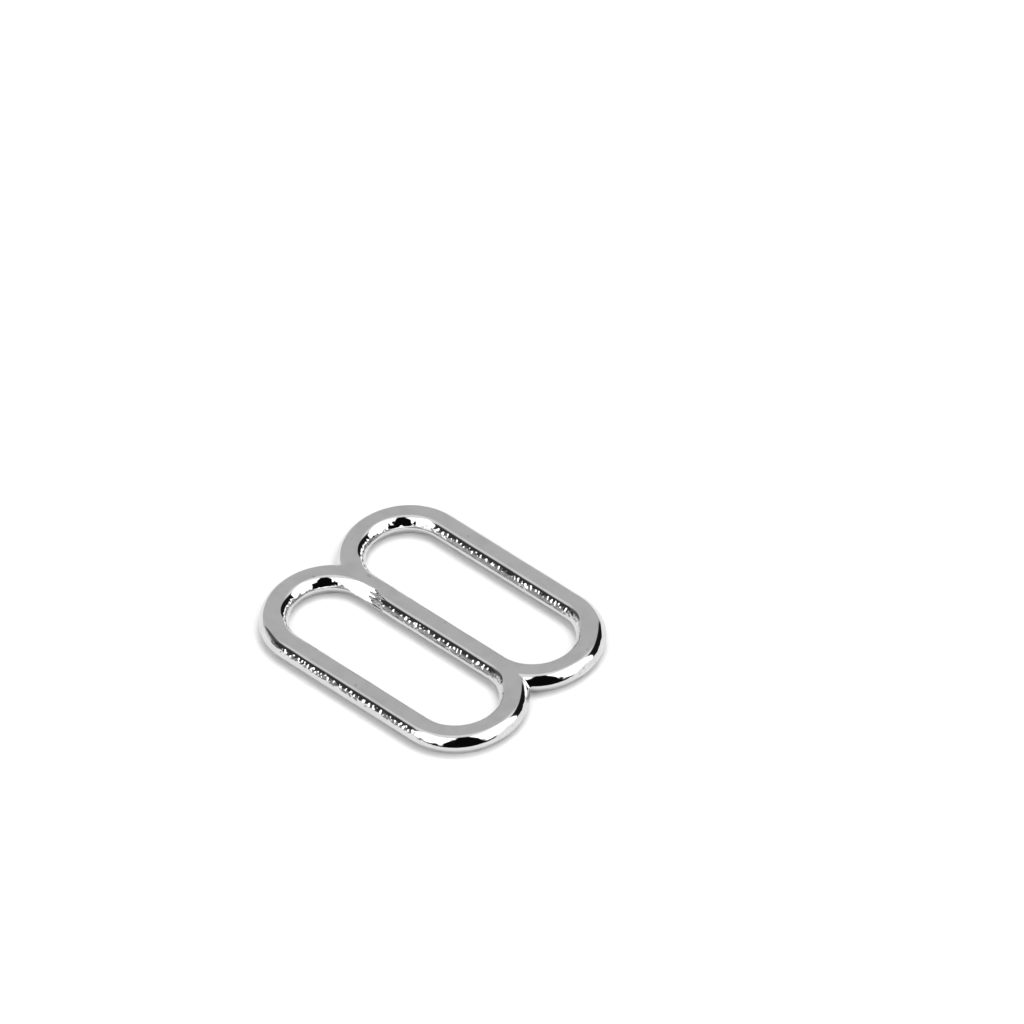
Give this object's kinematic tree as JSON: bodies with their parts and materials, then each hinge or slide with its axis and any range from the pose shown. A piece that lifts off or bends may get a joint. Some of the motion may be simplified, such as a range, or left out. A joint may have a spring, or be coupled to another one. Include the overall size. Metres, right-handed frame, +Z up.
{
  "type": "strap slider",
  "caption": "Figure-eight strap slider in bright plated metal: rounded slots side by side that share a centre bar, so that a strap loops round it and its length is adjusted.",
  "frame": {"origin": "centre of the underside, on the plane that the slider lies on", "axes": "+Z up through the slider's thickness, +X along the bars and the slots' long sides, +Y across the bars"},
  "size_m": [0.0168, 0.0134, 0.0012],
  "materials": {
    "bright_plating": "bright nickel plating over a zinc die-casting, polished, with slightly pitted sides"
  },
  "bodies": {
    "root": {"slider_frame": "bright_plating"}
  },
  "joints": []
}
